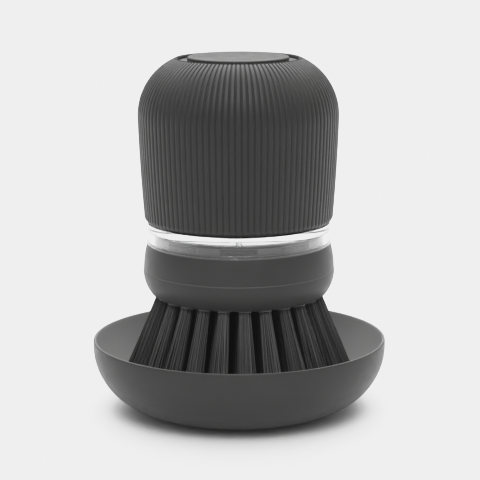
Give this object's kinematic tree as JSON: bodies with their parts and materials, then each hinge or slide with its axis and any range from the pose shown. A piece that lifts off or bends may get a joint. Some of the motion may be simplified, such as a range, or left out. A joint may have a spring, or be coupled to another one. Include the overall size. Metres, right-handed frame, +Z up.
{
  "type": "palm dish brush",
  "caption": "Palm dish brush with a ribbed cap, clear soap tank, push button and splayed bristle tufts, standing in a round drip bowl.",
  "frame": {"origin": "middle of the bowl's foot, on the surface it stands on", "axes": "+Z up along the common axis of bowl, head, tank, cap and button; -Y is the front"},
  "size_m": [0.093, 0.093, 0.1129],
  "materials": {
    "bowl_plastic": "fine matte moulded dark grey",
    "head_plastic": "fine matte moulded dark grey",
    "cap_plastic": "soft matte dark grey, finely ribbed",
    "button_plastic": "matte dark grey",
    "lid_plastic": "natural white moulded plastic",
    "clear_plastic": "clear polished plastic",
    "bristle": "dark grey nylon filaments",
    "anchor_wire": "flat drawn wire",
    "seal_rubber": "soft seal rubber",
    "valve_silicone": "translucent silicone",
    "spring_steel": "drawn spring wire"
  },
  "bodies": {
    "bowl": {"drip_bowl": "bowl_plastic"},
    "head": {"bristle_block": "head_plastic", "head_collar": "head_plastic", "tufts_outer": "bristle", "tufts_second": "bristle", "tufts_third": "bristle", "tufts_inner": "bristle", "tuft_anchors": "anchor_wire", "soap_funnel": "lid_plastic"},
    "head_seal": {"head_gasket": "seal_rubber"},
    "tank": {"soap_tank": "clear_plastic", "slit_valve": "valve_silicone", "valve_retainer": "head_plastic"},
    "cap_seal": {"cap_gasket": "seal_rubber"},
    "cap": {"ribbed_cap": "cap_plastic", "inner_lid": "lid_plastic", "air_valve": "valve_silicone", "button_bezel": "head_plastic", "button_spring": "spring_steel"},
    "button": {"push_button": "button_plastic", "pump_piston": "lid_plastic", "piston_seal": "seal_rubber"}
  },
  "joints": [
    {"name": "brush_lift", "type": "slide", "parent": "bowl", "child": "head", "axis": [0, 0, 1], "range_m": [0, 0.06]},
    {"name": "tank_rise", "type": "slide", "parent": "head", "child": "head_seal", "axis": [0, 0, 1], "range_m": [0, 0.0041]},
    {"name": "tank_turn", "type": "hinge", "parent": "head_seal", "child": "tank", "pos_m": [0, 0, 0.057], "axis": [0, 0, 1], "range_deg": [0, 90]},
    {"name": "cap_rise", "type": "slide", "parent": "tank", "child": "cap_seal", "axis": [0, 0, 1], "range_m": [0, 0.0061]},
    {"name": "cap_turn", "type": "hinge", "parent": "cap_seal", "child": "cap", "pos_m": [0, 0, 0.09], "axis": [0, 0, 1], "range_deg": [0, 270]},
    {"name": "button_press", "type": "slide", "parent": "cap", "child": "button", "axis": [0, 0, -1], "range_m": [0, 0.0035], "stiffness_N_per_m": 900, "springref_m": -0.002, "deforming": ["button_spring"]}
  ],
  "couplings": [
    {"joint": "tank_rise", "follows": "tank_turn", "m_per_rad": 0.0025465},
    {"joint": "cap_rise", "follows": "cap_turn", "m_per_rad": 0.0012732}
  ]
}
